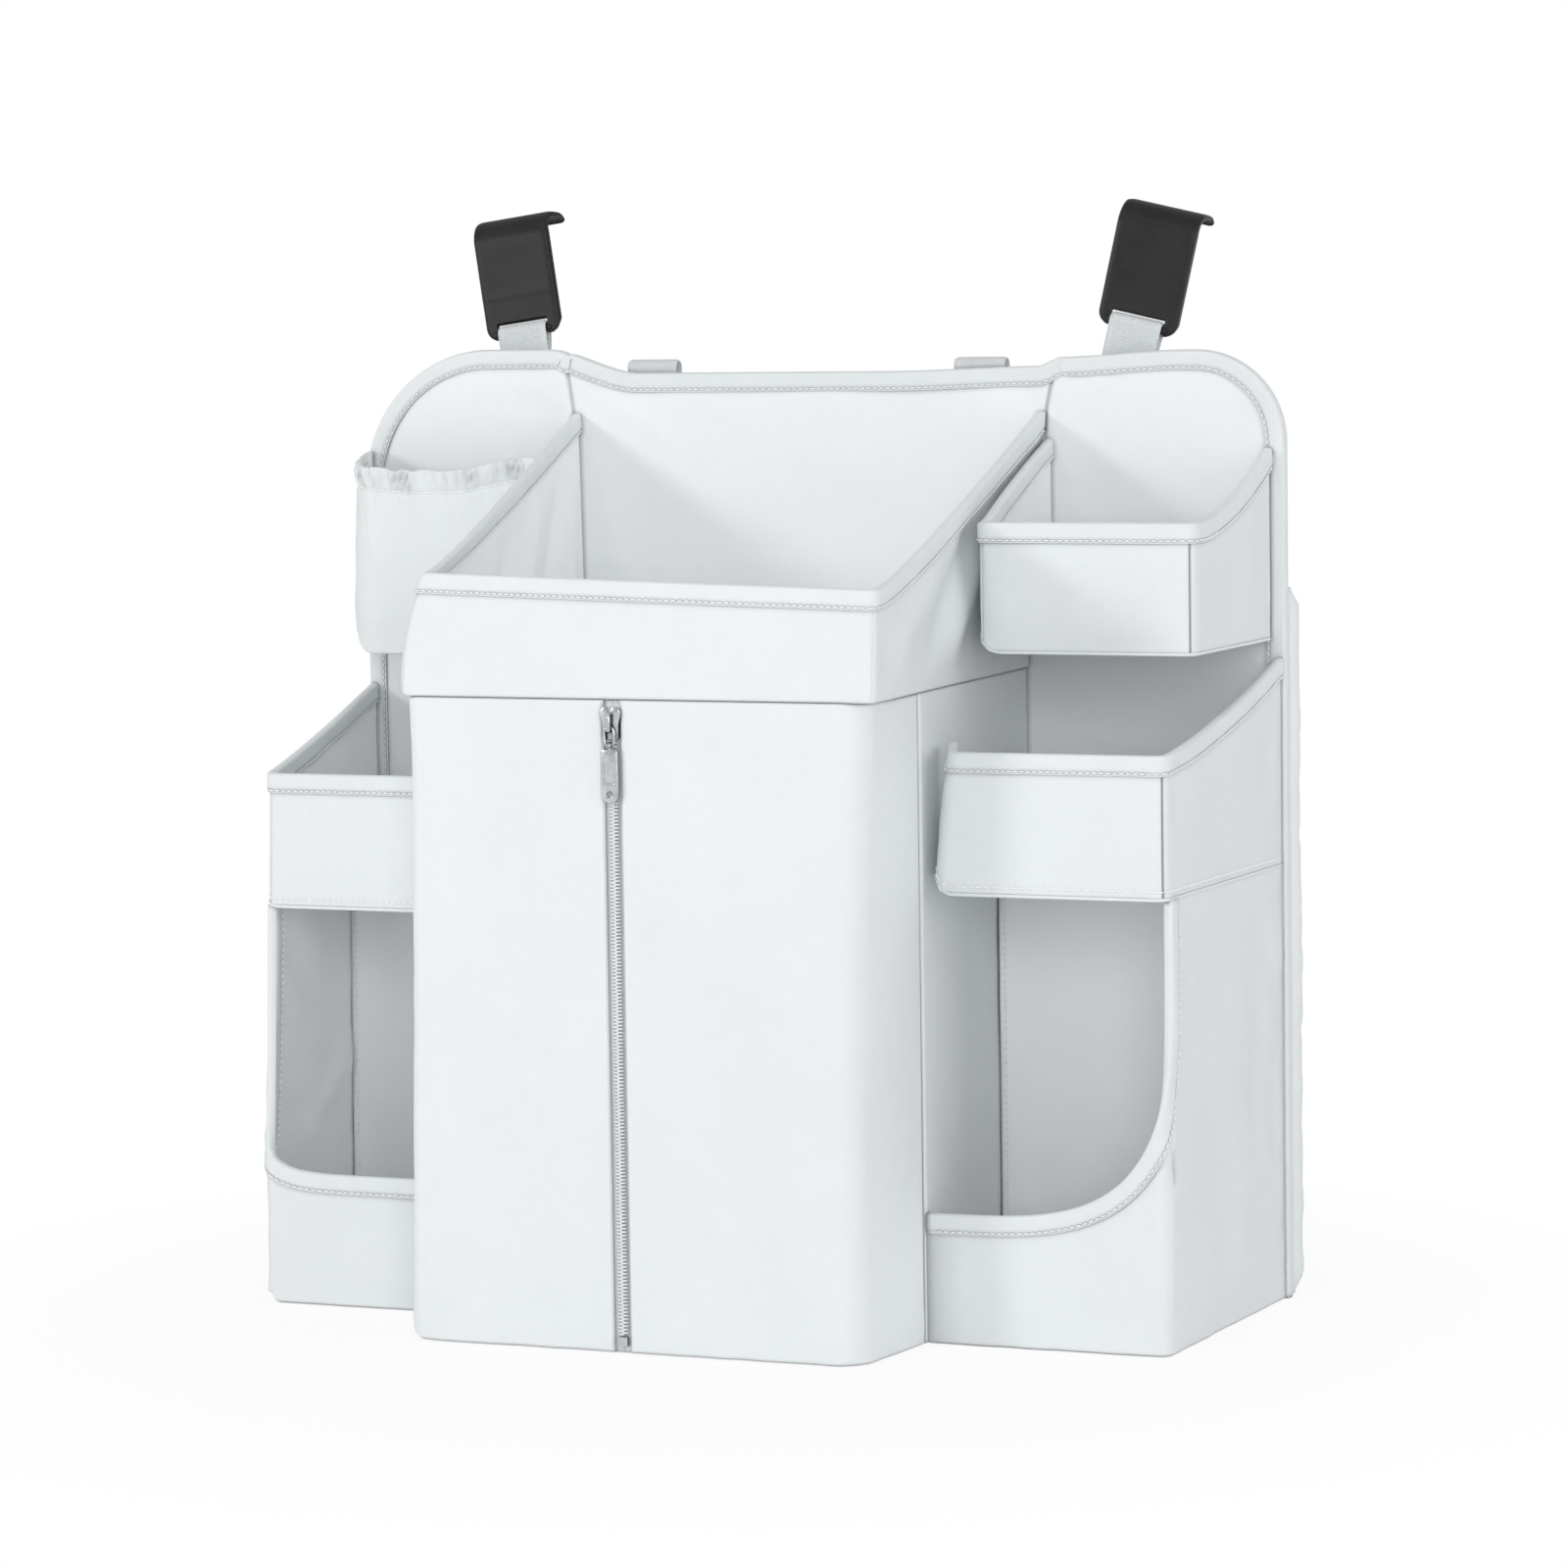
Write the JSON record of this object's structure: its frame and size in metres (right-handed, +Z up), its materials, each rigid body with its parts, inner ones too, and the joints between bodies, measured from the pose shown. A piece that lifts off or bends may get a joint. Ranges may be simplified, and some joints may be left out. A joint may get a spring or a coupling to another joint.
{
  "type": "crib rail organizer",
  "caption": "Hanging cloth caddy with a zipped centre compartment, an open bin above it, pockets at both sides and strapped hooks for a crib rail.",
  "frame": {"origin": "on the underside of the centre compartment's floor, midway between its front and its back and midway across the back panel", "axes": "+X to the user's right, +Y to the rail behind, +Z up"},
  "size_m": [0.46, 0.2507, 0.5029],
  "materials": {
    "cloth": "smooth pale polyester cloth over stiff board",
    "trim": "folded woven binding tape with a line of stitching",
    "board": "plain stiffening board",
    "webbing": "ribbed pale grey webbing",
    "tape": "woven zip tape",
    "nylon": "coiled nylon zip teeth",
    "elastic": "knitted elastic",
    "metal": "plated zinc, satin",
    "black": "moulded, satin black",
    "grey": "moulded, satin pale grey"
  },
  "bodies": {
    "caddy": {"back_cover_front": "cloth", "back_board": "board", "back_cover_rear": "cloth", "back_binding": "trim", "rear_sleeve": "cloth", "bin_side_left": "cloth", "bin_front": "cloth", "bin_side_right": "cloth", "bin_floor": "cloth", "bin_rim_binding": "trim", "box_front_left": "cloth", "box_front_right": "cloth", "box_wall_left": "cloth", "box_wall_right": "cloth", "box_floor": "cloth", "box_floor_board": "board", "zip_tape_left": "tape", "zip_tape_right": "tape", "zip_chain_left": "nylon", "zip_chain_right": "nylon", "zip_bottom_stop": "metal", "upper_right_inner_side": "cloth", "upper_right_front": "cloth", "upper_right_side": "cloth", "upper_right_floor": "cloth", "upper_right_binding": "trim", "mid_right_front": "cloth", "mid_right_side": "cloth", "mid_right_floor": "cloth", "mid_right_binding": "trim", "lower_right_wall": "cloth", "lower_right_floor": "cloth", "lower_right_back_wall": "cloth", "lower_right_binding": "trim", "upper_left_pocket": "cloth", "upper_left_elastic": "elastic", "upper_left_floor": "cloth", "mid_left_front": "cloth", "mid_left_side": "cloth", "mid_left_floor": "cloth", "mid_left_binding": "trim", "lower_left_wall": "cloth", "lower_left_floor": "cloth", "lower_left_back_wall": "cloth", "lower_left_binding": "trim", "adjuster_left": "grey", "adjuster_tab_left": "webbing", "adjuster_right": "grey", "adjuster_tab_right": "webbing", "tie_loop_left": "webbing", "tie_loop_right": "webbing"},
    "slider": {"zip_slider": "metal"},
    "link": {"zip_link": "metal"},
    "pull": {"zip_pull": "metal"},
    "left_strap": {"strap_left": "webbing"},
    "left_hook": {"hook_left": "black"},
    "right_strap": {"strap_right": "webbing"},
    "right_hook": {"hook_right": "black"}
  },
  "joints": [
    {"name": "zip_slide", "type": "slide", "parent": "caddy", "child": "slider", "axis": [0, 0, -1], "range_m": [0, 0.265]},
    {"name": "link_swing", "type": "hinge", "parent": "slider", "child": "link", "pos_m": [-0.015, -0.105, 0.2761], "axis": [-1, 0, 0], "range_deg": [0, 120]},
    {"name": "pull_swing", "type": "hinge", "parent": "link", "child": "pull", "pos_m": [-0.015, -0.105, 0.2685], "axis": [-1, 0, 0], "range_deg": [0, 60]},
    {"name": "left_strap_length", "type": "slide", "parent": "caddy", "child": "left_strap", "axis": [-0.1392, 0, 0.9903], "range_m": [0, 0.09]},
    {"name": "left_hook_swing", "type": "hinge", "parent": "left_strap", "child": "left_hook", "pos_m": [-0.151, 0.117, 0.445], "axis": [0.9903, 0, 0.1392], "range_deg": [-80, 80]},
    {"name": "right_strap_length", "type": "slide", "parent": "caddy", "child": "right_strap", "axis": [0.225, 0, 0.9744], "range_m": [0, 0.09]},
    {"name": "right_hook_swing", "type": "hinge", "parent": "right_strap", "child": "right_hook", "pos_m": [0.156, 0.117, 0.445], "axis": [0.9744, 0, -0.225], "range_deg": [-80, 80]}
  ]
}
